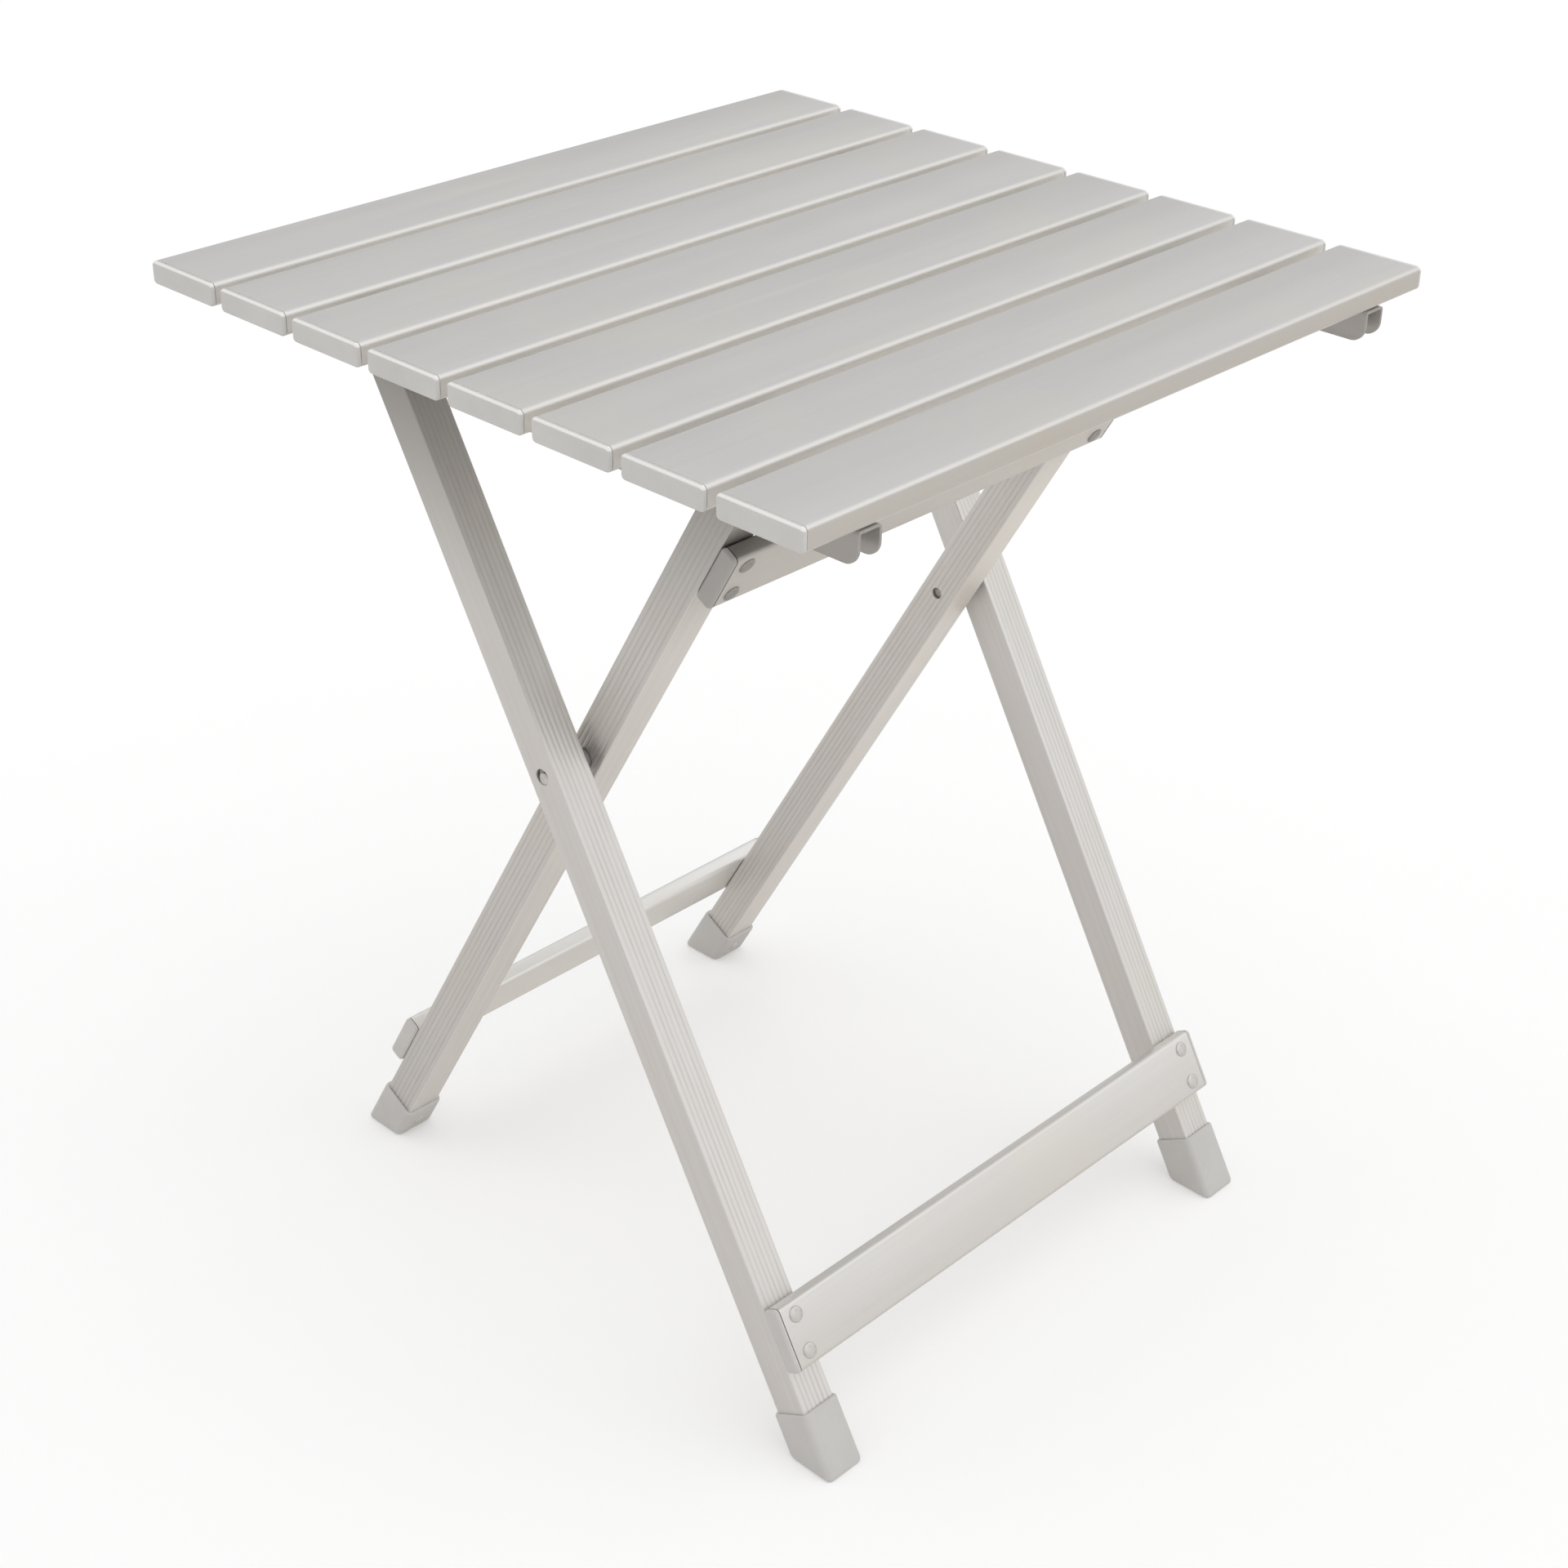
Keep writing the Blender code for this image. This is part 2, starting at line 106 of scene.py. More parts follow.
# The pivot rivets' set heads and small tails, and the plates behind them: dull plates that paint the shade
# inside the access holes. All sit deeper than the leg's face.
PIVOT_HEAD_RADIUS = 0.0034
PIVOT_HEAD_HEIGHT = 0.0009
PIVOT_HEAD_DIMPLE = 0.0011
PIVOT_HEAD_DEPTH = 0.0011
PIVOT_HEAD_SHIFT = (-0.0003, -0.0013)
PIVOT_TAIL_RADIUS = 0.74 * PIVOT_HEAD_RADIUS
PIVOT_TAIL_DIMPLE = 0.0008
PIVOT_TAIL_DEPTH = 0.0016
PIVOT_TAIL_SHIFT = (-0.0003, 0.0003)
PIVOT_PLATE_RADIUS = 0.0065
PIVOT_PLATE_SHEET = 0.0004
PIVOT_PLATE_DEPTH = 0.0021

# Boots. Their rim and the end of their socket are measured down the leg from the pivot.
BOOT_HALF = 0.013
BOOT_CORNER = 0.0035
BOOT_RIM_DOWN = 0.356
BOOT_RIM_ROUND = 0.0014
SOLE_ROUND = 0.0028
SOCKET_HALF = 0.01104
SOCKET_CORNER = 0.0016
SOCKET_DOWN = 0.378

# End caps: the sections that they close, and their edges.
SLAT_SECTION = (0.050, 0.012)
BAR_SECTION = (0.010, 0.036)
CAP_SEAM = 0.0004
CAP_CORNER = 0.0025
CAP_FILLET = 0.0015
CAP_CHAMFER = 0.0002

# Side rails.
RAIL_SHEET = 0.0013
RAIL_BEND = 0.0018
RAIL_CORNER = 0.008
RAIL_EDGE = 0.00025
RAIL_EDGE_ANGLE = math.radians(50)

# How finely round shapes are divided: a full turn, then quarter turns.
TURN_STEPS = 32
DOME_STEPS = 8
OUTLINE_STEPS = 8
FILLET_STEPS = 8
BOOT_STEPS = 6
RAIL_CORNER_STEPS = 10
RAIL_BEND_STEPS = 6

# The CAD meshes' facets: points this close are one, and faces this nearly level with each other are one.
WELD_REACH = 0.000002
FLAT_ANGLE = math.radians(0.5)

# The angle from which an edge is shaded sharp.
SHARP_RIVET = math.radians(50)
SHARP_BOOT = math.radians(40)
SHARP_CAP = math.radians(30)
SHARP_RAIL = math.radians(60)
SHARP_CAD = math.radians(28)

# Floor, light and camera.
FLOOR_HALF = 15
FLOOR_CLOUDS = (3, 3, 3)
FLOOR_SHADE = (0.90, 0.90, 0.90)
FLOOR_LIGHT = (0.915, 0.915, 0.915)
FLOOR_BOUNCE = (0.87, 0.845, 0.815)
FLOOR_GLOW = 0.22
BACKDROP = (0.985, 0.985, 0.985)
AMBIENT = (0.50, 0.50, 0.50)
LIGHT_LOBES = (
    # Direction, sharpness and colour of each broad source in the surroundings.
    ((0.0, 0.0, 1.0), 1.5, (0.40, 0.40, 0.405)),
    ((0.45, -0.72, 0.53), 2.5, (0.45, 0.445, 0.435)),
    ((-0.50, 0.60, 0.62), 6.0, (0.25, 0.25, 0.25)),
)
CAMERA_AIM = Vector((-0.0478, -0.0462, 0.300))
CAMERA_AZIMUTH = math.radians(46.27)
CAMERA_ELEVATION = math.radians(30.0)
CAMERA_ROLL = math.radians(0.724)
CAMERA_DISTANCE = 1.4097
CAMERA_LENS = 61.40
CAMERA_SENSOR = 36


# ---------------------------------------------------------------- shader graphs
class Graph:
    """A node tree and short ways to add nodes to it."""

    def __init__(self, tree):
        self.tree = tree

    def add(self, kind, values=(), **settings):
        """Add a node; values pairs an input's name or number with a number or an output."""
        node = self.tree.nodes.new(kind)
        for key, value in settings.items():
            setattr(node, key, value)
        for key, value in dict(values).items():
            self.plug(node.inputs[key], value)
        return node

    def plug(self, socket, value):
        """Feed a socket from an output, or set its own value."""
        if isinstance(value, bpy.types.NodeSocket):
            self.tree.links.new(value, socket)
        else:
            socket.default_value = value

    def maths(self, operation, first, second=0.0, third=0.0, **settings):
        """Return one arithmetic step."""
        values = {0: first, 1: second, 2: third}
        return self.add("ShaderNodeMath", values, operation=operation, **settings).outputs[0]

    def product(self, first, second):
        """Return two values multiplied."""
        return self.maths("MULTIPLY", first, second)

    def scaled(self, value, gain, offset):
        """Return a value times a gain, plus an offset."""
        return self.maths("MULTIPLY_ADD", value, gain, offset)

    def mix(self, share, first, second, blend="MIX"):
        """Return a blend of two colours."""
        node = self.add("ShaderNodeMix", data_type="RGBA", blend_type=blend)
        for socket, value in ((node.inputs[0], share), (node.inputs[6], first), (node.inputs[7], second)):
            self.plug(socket, (*value, 1) if isinstance(value, tuple) else value)
        return node.outputs[2]

    def seen_directly(self):
        """Return 1 for what is seen directly, and 0 for what only lights other things."""
        return self.add("ShaderNodeLightPath").outputs["Is Camera Ray"]


class Look(Graph):
    """One procedural material, with noise and masks in the object's own coordinates."""

    def __init__(self, name):
        self.material = bpy.data.materials.new(name)
        self.material.use_nodes = True
        super().__init__(self.material.node_tree)
        self.shader = self.tree.nodes["Principled BSDF"]
        coordinates = self.add("ShaderNodeTexCoord")
        self.place = coordinates.outputs["Object"]
        self.heading = coordinates.outputs["Normal"]

    def turned(self, vector, rotation):
        """Return coordinates or a direction turned about the origin, to follow a leaning piece."""
        return self.add("ShaderNodeMapping", {"Vector": vector, "Rotation": rotation}).outputs["Vector"]

    def part(self, vector, axis):
        """Return one part of a vector."""
        return self.add("ShaderNodeSeparateXYZ", {"Vector": vector}).outputs[axis]

    def size(self, value):
        """Return a value without its sign."""
        return self.maths("ABSOLUTE", value)

    def noise(self, place, cells, detail=2.0, rough=0.5, warp=0.0):
        """Return noise in 0 to 1 at so many cells per metre along each axis."""
        spread = self.add("ShaderNodeVectorMath", {0: place, 1: cells}, operation="MULTIPLY")
        values = {"Vector": spread.outputs[0], "Scale": 1.0, "Detail": detail}
        values |= {"Roughness": rough, "Distortion": warp}
        return self.add("ShaderNodeTexNoise", values).outputs["Fac"]

    def span(self, value, low, high, to_low=0.0, to_high=1.0):
        """Return a value mapped smoothly from one range to another, and kept inside it."""
        values = {"Value": value, "From Min": low, "From Max": high, "To Min": to_low, "To Max": to_high}
        return self.add("ShaderNodeMapRange", values, interpolation_type="SMOOTHSTEP").outputs["Result"]

    def tint(self, colour, factor):
        """Return a colour multiplied by a constant one."""
        return self.mix(1.0, colour, factor, "MULTIPLY")

    def edges(self, radius):
        """Return a mask that is 1 on outer edges and fades out over the given radius."""
        worn = self.add("ShaderNodeBevel", {"Radius": radius}, samples=4).outputs[0]
        plain = self.add("ShaderNodeNewGeometry").outputs["Normal"]
        agree = self.add("ShaderNodeVectorMath", {0: worn, 1: plain}, operation="DOT_PRODUCT")
        return self.span(agree.outputs["Value"], 0.995, 0.80)

    def open_sky(self, reach, low, high):
        """Return a mask that is 0 where nearby surfaces shut a point in and 1 where it is open."""
        node = self.add("ShaderNodeAmbientOcclusion", {"Distance": reach}, samples=4)
        return self.span(node.outputs["AO"], low, high)

    def bump(self, height, distance, strength):
        """Feed the shader's normal from a height."""
        values = {"Height": height, "Distance": distance, "Strength": strength}
        self.plug(self.shader.inputs["Normal"], self.add("ShaderNodeBump", values).outputs["Normal"])

    def set(self, **values):
        """Set or feed the shader's sockets, named with underscores for spaces."""
        for key, value in values.items():
            if isinstance(value, tuple):
                value = (*value, 1)
            self.plug(self.shader.inputs[key.replace("_", " ")], value)


def shaded(base, factor):
    """Return a colour made lighter or darker, with no part over 1."""
    return tuple(min(part * factor, 1) for part in base)


# ---------------------------------------------------------------- aluminium
ALONG_X, ALONG_Y, ALONG_Z = 0, 1, 2
LEVEL = (0, 0, 0)
OUTER_UPRIGHT = (LEAN, 0, 0)
INNER_UPRIGHT = (-LEAN, 0, 0)

# Noise in cells per metre. A pair is along the grain and across it.
FINE_GRAIN = (9, 1500)
STREAKS = (3, 260)
BANDS = (1.6, 17)
# Patches where the painted shade in the grooves is stronger.
GROOVE_SHADE_PATCHES = (40, 700)
SMUDGES = (13, 15, 11)
SPECKS = (2600, 2600, 2600)
NICKS = (420, 420, 420)
SCRATCHES = (14, 420, 14)
SCRATCH_PATCHES = (11, 12, 13)
SCRATCH_SLANT = (0.5, 0.4, 0.7)

WORN_RADIUS = 0.0013
WORN_TONE = (0.93, 0.92, 0.90)
SCRATCH_TONE = (0.95, 0.94, 0.92)
WARM_TINT = (1.01, 0.995, 0.955)
METAL_BUMP = 0.00003
METALLIC = 0.85

# Grooves: their spacing, how far off the leg's middle they reach, how they fade out there, and the tint of
# the painted shade line in each.
GROOVE_PITCH = 0.003
GROOVE_REACH = 0.0088
GROOVE_FADE = 0.0003
GROOVE_SHADE_TINT = (0.88, 0.875, 0.87)

# Painted light and shade. Faces that look at each other across a narrow gap are painted lighter, a painted
# light in the gap; the legs' top ends and faces close under other pieces are painted darker, a painted shade.
PAINTED_GAP_LIGHT_TONE = (0.990, 0.975, 0.945)
GAP_METALLIC = 0.10
GAP_REACH = 0.008
# Painted shade on the legs' top ends, under the table top: its tone and the heights over which it comes in.
LEG_TOP_SHADE_TONE = (0.370, 0.358, 0.346)
LEG_TOP_SHADE_FROM = 0.400
LEG_TOP_SHADE_TO = 0.555
# Painted shade on faces close under other pieces: its tone and how far off the pieces that shade them may be.
UNDER_SHADE_TONE = (0.240, 0.232, 0.222)
UNDER_SHADE_REACH = 0.110

# Painted shade on side faces: the axis that a piece's side faces look along, and the tint of the painted
# shade on them.
SLAT_SIDE_SHADE = (ALONG_Y, (0.82, 0.80, 0.77))
OUTER_SIDE_SHADE = (ALONG_X, (0.95, 0.95, 0.955))
INNER_SIDE_SHADE = (ALONG_X, (0.82, 0.82, 0.83))

# The axis that the grooved faces look along, the axis that crosses the grooves, and the leg's middle on it.
OUTER_GROOVES = (ALONG_Y, ALONG_X, OUTER.leg_x)
INNER_GROOVES = (ALONG_X, ALONG_Y, PIVOT.z * math.sin(LEAN))


def drawn_tone(look, fine, streak, bands, base, coarse):
    """Return the base colour with light and dark lines along the grain."""
    lines = look.scaled(streak, 0.30, 0.0)
    lines = look.scaled(fine, 0.25, lines)
    lines = look.scaled(bands, 0.45, lines)
    spread = 0.19 / coarse
    lines = look.span(lines, 0.5 - spread, 0.5 + spread)
    return look.mix(lines, shaded(base, 1 - 0.09 * coarse), shaded(base, 1 + 0.06 * coarse))


def worn_edges(look, place):
    """Return a mask of the outer edges, strongest where they are nicked."""
    nick = look.span(look.noise(place, NICKS, 2), 0.52, 0.66)
    return look.product(look.edges(WORN_RADIUS), look.scaled(nick, 0.6, 0.4))


def scratches(look, place, upright):
    """Return a mask of hairlines that cross the grain, in a few patches."""
    slanted = look.turned(look.place, tuple(turn + slant for turn, slant in zip(upright, SCRATCH_SLANT)))
    drift = look.noise(slanted, SCRATCHES, 0)
    hairline = look.span(look.size(look.maths("SUBTRACT", drift, 0.5)), 0.006, 0.001)
    patch = look.span(look.noise(place, SCRATCH_PATCHES, 1), 0.60, 0.70)
    return look.product(hairline, patch)


def painted_side_shade(look, colour, axis, tint):
    """Return the colour with painted shade: tinted on the faces that look along an axis."""
    facing = look.span(look.size(look.part(look.heading, axis)), 0.80, 0.96)
    return look.mix(facing, colour, look.tint(colour, tint))


def painted_groove_shade(look, colour, place, upright, shade_patches, grooves):
    """Return the colour with a thin line of painted shade in each of a leg's grooves, stronger in patches."""
    face_axis, across_axis, middle = grooves
    facing = look.size(look.part(look.turned(look.heading, upright), face_axis))
    off = look.maths("SUBTRACT", look.size(look.part(place, across_axis)), middle)
    whole_pitches = 50.0
    phase = look.maths("FRACT", look.scaled(off, 1 / GROOVE_PITCH, whole_pitches))
    line = look.span(look.size(look.maths("SUBTRACT", phase, 0.5)), 0.26, 0.10)
    line = look.product(line, look.span(look.size(off), GROOVE_REACH, GROOVE_REACH - GROOVE_FADE))
    line = look.product(line, look.span(facing, 0.75, 0.90))
    line = look.product(line, look.span(shade_patches, 0.30, 0.70, 0.45, 1.0))
    return look.mix(line, colour, look.tint(colour, GROOVE_SHADE_TINT))


def aluminium(name, grain_axis, upright, base, rough, coarse=1.0, side_shade=None, grooves=None, painted_gap_light=False,
              dull_top=False, painted_under_shade=False):
    """Satin anodised aluminium, drawn and brushed along one axis of the piece, once it is turned upright.

    Faces that look at each other closely can be painted lighter and made less metallic, a painted light in
    the narrow gap.
    The ends of the legs under the table top can be painted darker, and so can faces close under other pieces:
    painted shade. Side faces can take a tint of painted shade, and grooves a line of painted shade.
    """
    look = Look(name)
    place = look.turned(look.place, upright)

    def grain(cells, detail, roughness=0.5):
        along, across = cells
        spacing = tuple(along if axis == grain_axis else across for axis in range(3))
        return look.noise(place, spacing, detail, roughness)

    fine = grain(FINE_GRAIN, 3, 0.6)
    streak = grain(STREAKS, 3, 0.6)
    smudge = look.noise(place, SMUDGES, 3, 0.55, 0.6)
    speck = look.noise(place, SPECKS, 1)
    worn = worn_edges(look, place)
    warm = tuple(part * tint for part, tint in zip(base, WARM_TINT))
    colour = drawn_tone(look, fine, streak, grain(BANDS, 2), base, coarse)
    colour = look.mix(look.span(smudge, 0.42, 0.72, 0.0, 0.55), colour, warm)
    colour = look.mix(look.product(scratches(look, place, upright), 0.30), colour, SCRATCH_TONE)
    colour = look.mix(look.product(worn, 0.35), colour, WORN_TONE)
    metallic = METALLIC
    if side_shade:
        # Painted shade on the faces that look along one axis.
        colour = painted_side_shade(look, colour, *side_shade)
    if grooves:
        # Painted shade: a darker line in each groove.
        colour = painted_groove_shade(look, colour, place, upright, grain(GROOVE_SHADE_PATCHES, 2), grooves)
    if painted_gap_light:
        # Painted light: faces shut in across a narrow gap are painted lighter and made less metallic.
        gap_light_mask = look.open_sky(GAP_REACH, 0.60, 0.97)
        colour = look.mix(gap_light_mask, PAINTED_GAP_LIGHT_TONE, colour)
        metallic = look.scaled(gap_light_mask, METALLIC - GAP_METALLIC, GAP_METALLIC)
    if dull_top:
        # Painted shade: the legs darken towards their top ends, under the table top.
        colour = look.mix(look.span(look.part(look.place, ALONG_Z), LEG_TOP_SHADE_FROM, LEG_TOP_SHADE_TO), colour, LEG_TOP_SHADE_TONE)
    if painted_under_shade:
        # Painted shade where other pieces close a face in.
        colour = look.mix(look.open_sky(UNDER_SHADE_REACH, 0.55, 0.95), UNDER_SHADE_TONE, colour)
    gloss = look.scaled(streak, 0.10, rough - 0.09)
    gloss = look.scaled(smudge, 0.12, gloss)
    gloss = look.scaled(worn, -0.06, gloss)
    height = look.scaled(speck, 0.25, look.product(fine, 0.5 * coarse))
    height = look.scaled(streak, 0.35 * coarse, height)
    look.set(Base_Color=colour, Roughness=gloss, Metallic=metallic, Anisotropic=0.25)
    look.bump(height, METAL_BUMP, 0.45)
    return look.material


# Painted light in the gaps between the slats, and painted shade on their front and back faces.
SLAT_METAL = aluminium("slat_satin_aluminium", ALONG_X, LEVEL, (0.800, 0.790, 0.774),
                       rough=0.38, coarse=0.6, side_shade=SLAT_SIDE_SHADE, painted_gap_light=True)
OUTER_LEG_METAL = aluminium("outer_leg_satin_aluminium", ALONG_Z, OUTER_UPRIGHT, (0.825, 0.808, 0.790),
                            rough=0.46, side_shade=OUTER_SIDE_SHADE, grooves=OUTER_GROOVES, dull_top=True)
# Painted light: the inner legs' aluminium is lighter than the outer legs', for the light their front faces
# catch from the floor; painted shade darkens their side faces back.
INNER_LEG_METAL = aluminium("inner_leg_satin_aluminium", ALONG_Z, INNER_UPRIGHT, (0.895, 0.874, 0.846),
                            rough=0.40, side_shade=INNER_SIDE_SHADE, grooves=INNER_GROOVES, dull_top=True)
FRONT_BAR_METAL = aluminium("bar_satin_aluminium", ALONG_X, LEVEL, (0.800, 0.784, 0.764),
                            rough=0.40, coarse=0.7)
# Painted shade: the top bar sits close under the table top, so its aluminium is darker than the other bars'
# and it takes painted shade under other pieces.
SHADED_TOP_BAR_METAL = aluminium("top_bar_satin_aluminium_painted_shade", ALONG_X, LEVEL, (0.720, 0.700, 0.665),
                          rough=0.40, coarse=0.7, painted_under_shade=True)
# Painted light: the back bar's aluminium is lighter than the front bar's, for the light that its face catches
# from the floor.
BACK_BAR_METAL = aluminium("back_bar_satin_aluminium", ALONG_X, LEVEL, (0.915, 0.905, 0.885),
                           rough=0.40, coarse=0.7)
# Painted shade: the rails' aluminium is darker than the rest, for the shade under the table top.
RAIL_METAL = aluminium("rail_satin_aluminium", ALONG_Y, LEVEL, (0.470, 0.456, 0.442), rough=0.42)


# ---------------------------------------------------------------- plastic and steel
# Noise in cells per metre, how far wear reaches from an edge, and the depth of the texture.
PLASTIC_CLOUDS = (34, 37, 31)
PLASTIC_SCUFFS = (240, 700, 500)
PLASTIC_WEAR = 0.0011
PLASTIC_BUMP = 0.00005
STEEL_GRIT = (1900, 1900, 1900)
STEEL_SPOTS = (620, 580, 640)
STEEL_CLOUDS = (160, 150, 170)
STEEL_WEAR = 0.0006
STEEL_BUMP = 0.00003


def plastic(name, base, rough, texture, rim=None):
    """Moulded nylon with a fine spark-eroded texture, scuffed and worn lighter along its edges, with a
    painted highlight that makes the upward edges lighter still.

    The texture is in cells per metre, and the rim is the tone of a painted highlight on the rounded edge
    round a level piece's top.
    """
    look = Look(name)
    grain = look.noise(look.place, (texture, texture, texture), 3, 0.6)
    cloud = look.noise(look.place, PLASTIC_CLOUDS, 3, 0.55, 0.4)
    scuff = look.noise(look.place, PLASTIC_SCUFFS, 3, 0.65, 0.8)
    up = look.part(look.heading, ALONG_Z)
    worn = look.product(look.edges(PLASTIC_WEAR), look.span(scuff, 0.35, 0.62, 0.25, 1.0))
    # Lighter edges: wear, with a painted highlight that is strongest on edges that face up.
    wear_and_upper_highlight = look.product(worn, look.scaled(look.span(up, 0.15, 0.55), 0.60, 0.35))
    colour = look.mix(cloud, shaded(base, 0.90), shaded(base, 1.06))
    colour = look.mix(look.span(scuff, 0.60, 0.74, 0.0, 0.35), colour, shaded(base, 1.22))
    colour = look.mix(wear_and_upper_highlight, colour, shaded(base, 1.36))
    if rim:
        # Painted highlight along the rounded edge round a level piece's top.
        painted_rim_highlight = look.product(look.span(up, 0.22, 0.42), look.span(up, 0.99, 0.93))
        colour = look.mix(look.product(painted_rim_highlight, look.span(scuff, 0.20, 0.45, 0.7, 1.0)), colour, rim)
    gloss = look.scaled(grain, 0.16, rough - 0.08)
    gloss = look.scaled(worn, -0.10, gloss)
    look.set(Base_Color=colour, Roughness=gloss, Specular_IOR_Level=0.45)
    look.bump(look.scaled(scuff, 0.4, grain), PLASTIC_BUMP, 0.35)
    return look.material


def steel(name, base, rough):
    """Bare metal of a small fixing, with a fine grit and small dull spots, brighter along its edges."""
    look = Look(name)
    grit = look.noise(look.place, STEEL_GRIT, 3, 0.6)
    spot = look.span(look.noise(look.place, STEEL_SPOTS, 2), 0.50, 0.70)
    cloud = look.noise(look.place, STEEL_CLOUDS, 2)
    colour = look.mix(cloud, shaded(base, 0.88), shaded(base, 1.08))
    colour = look.mix(look.product(spot, 0.30), colour, shaded(base, 0.66))
    colour = look.mix(look.product(look.edges(STEEL_WEAR), 0.35), colour, WORN_TONE)
    gloss = look.scaled(grit, 0.14, rough - 0.07)
    gloss = look.scaled(spot, 0.12, gloss)
    look.set(Base_Color=colour, Roughness=gloss, Metallic=1.0)
    look.bump(grit, STEEL_BUMP, 0.3)
    return look.material


# The slat caps' rim tone is a painted highlight along their upper rounded edge.
CAP_PLASTIC = plastic("cap_grey_plastic", (0.730, 0.724, 0.710), rough=0.50, texture=2400,
                      rim=(0.995, 0.985, 0.965))
BAR_CAP_PLASTIC = plastic("bar_cap_grey_plastic", (0.695, 0.680, 0.662), rough=0.50, texture=2400)
# Painted shade: the top bar's caps are the bar caps' plastic made darker, for the shade under the table top.
SHADED_TOP_BAR_CAP_PLASTIC = plastic("top_bar_cap_grey_plastic", (0.500, 0.488, 0.472), rough=0.55, texture=2400)
BOOT_PLASTIC = plastic("boot_grey_plastic", (0.680, 0.667, 0.650), rough=0.55, texture=1700)
DARK_NYLON = plastic("fitting_grey_nylon", (0.340, 0.338, 0.334), rough=0.50, texture=2000)
RIVET_METAL = steel("rivet_satin_aluminium", (0.740, 0.726, 0.704), rough=0.46)
# Painted shade: a darker copy of the rivet aluminium, for the top bar's rivets under the table top and the
# plates and tails inside the pivot holes.
SHADED_RIVET_METAL = steel("rivet_aluminium_painted_shade", (0.430, 0.420, 0.406), rough=0.42)
BRIGHT_STEEL = steel("bright_plated_steel", (0.820, 0.806, 0.784), rough=0.28)

# The CAD nodes' materials. The first row whose words are in a node's name holds, and the rest is dark nylon.
NODE_FINISHES = (
    ("cap_", CAP_PLASTIC),
    ("boot", BOOT_PLASTIC),
    ("slat", SLAT_METAL),
    ("outer_leg", OUTER_LEG_METAL),
    ("inner_leg", INNER_LEG_METAL),
    ("front_bar", FRONT_BAR_METAL),
    ("top_bar", SHADED_TOP_BAR_METAL),
    ("back_bar", BACK_BAR_METAL),
    ("side_rail", RAIL_METAL),
    ("pivot_rivet", BRIGHT_STEEL),
    ("hinge_pin", BRIGHT_STEEL),
)


# ---------------------------------------------------------------- shading of the CAD meshes
def soft_shading():
    """Return a geometry group that shades a mesh smooth, except across its sharp edges."""
    group = bpy.data.node_groups.new("soft_shading", "GeometryNodeTree")
    group.interface.new_socket("Mesh", in_out="INPUT", socket_type="NodeSocketGeometry")
    group.interface.new_socket("Mesh", in_out="OUTPUT", socket_type="NodeSocketGeometry")
    enter = group.nodes.new("NodeGroupInput")
    leave = group.nodes.new("NodeGroupOutput")
    forget = group.nodes.new("GeometryNodeRemoveAttribute")
    forget.inputs["Name"].default_value = "custom_normal"
    smooth = group.nodes.new("GeometryNodeSetShadeSmooth")
    crisp = group.nodes.new("GeometryNodeSetShadeSmooth")
    crisp.domain = "EDGE"
    crisp.inputs["Shade Smooth"].default_value = False
    angle = group.nodes.new("GeometryNodeInputMeshEdgeAngle")
    steep = group.nodes.new("FunctionNodeCompare")
    steep.operation = "GREATER_THAN"
    steep.inputs[1].default_value = SHARP_CAD
    link = group.links.new
    link(enter.outputs[0], forget.inputs["Geometry"])
    link(forget.outputs["Geometry"], smooth.inputs["Geometry"])
    link(smooth.outputs["Geometry"], crisp.inputs["Geometry"])
    link(angle.outputs["Unsigned Angle"], steep.inputs[0])
    link(steep.outputs["Result"], crisp.inputs["Selection"])
    link(crisp.outputs["Geometry"], leave.inputs[0])
    return group


def refine(name, node, shading):
    """Give one CAD node its material, whole flat faces and soft shading."""
    finish = next((material for words, material in NODE_FINISHES if words in name), DARK_NYLON)
    node.data.materials.clear()
    node.data.materials.append(finish)
    weld = node.modifiers.new("Weld", "WELD")
    weld.merge_threshold = WELD_REACH
    flat = node.modifiers.new("Flat", "DECIMATE")
    flat.decimate_type = "DISSOLVE"
    flat.angle_limit = FLAT_ANGLE
    soft = node.modifiers.new("Soft shading", "NODES")
    soft.node_group = shading


# ---------------------------------------------------------------- shapes
def quarter(steps):
    """Return the angles of a quarter turn, in even steps."""
    return [step / steps * math.pi / 2 for step in range(steps + 1)]


def outline(width, height, radius):
    """Return a rectangle's outline with round corners, turning anticlockwise."""
    points = []
    for turn, (x, y) in enumerate(((1, 1), (-1, 1), (-1, -1), (1, -1))):
        for step in quarter(OUTLINE_STEPS):
            angle = turn * math.pi / 2 + step
            across = x * (width / 2 - radius) + radius * math.cos(angle)
            points.append((across, y * (height / 2 - radius) + radius * math.sin(angle)))
    return points


def frame_point(turn, x, off, along):
    """Return a point given in a leaning frame's own directions, measured from the pivot."""
    return PIVOT + Matrix.Rotation(turn, 3, "X") @ Vector((x, off, along))


def frame_outward(turn, face):
    """Return the direction that a leaning frame's front or back face looks in."""
    return Matrix.Rotation(turn, 3, "X") @ Vector((0, face, 0))


def mesh_piece(name, cage, finish, sharp):
    """Turn a bmesh into a shaded piece with a material."""
    bmesh.ops.recalc_face_normals(cage, faces=cage.faces)
    mesh = bpy.data.meshes.new(name)
    cage.to_mesh(mesh)
    cage.free()
    mesh.shade_smooth()
    mesh.set_sharp_from_angle(angle=sharp)
    mesh.materials.append(finish)
    piece = bpy.data.objects.new(name, mesh)
    bpy.context.scene.collection.objects.link(piece)
    return piece


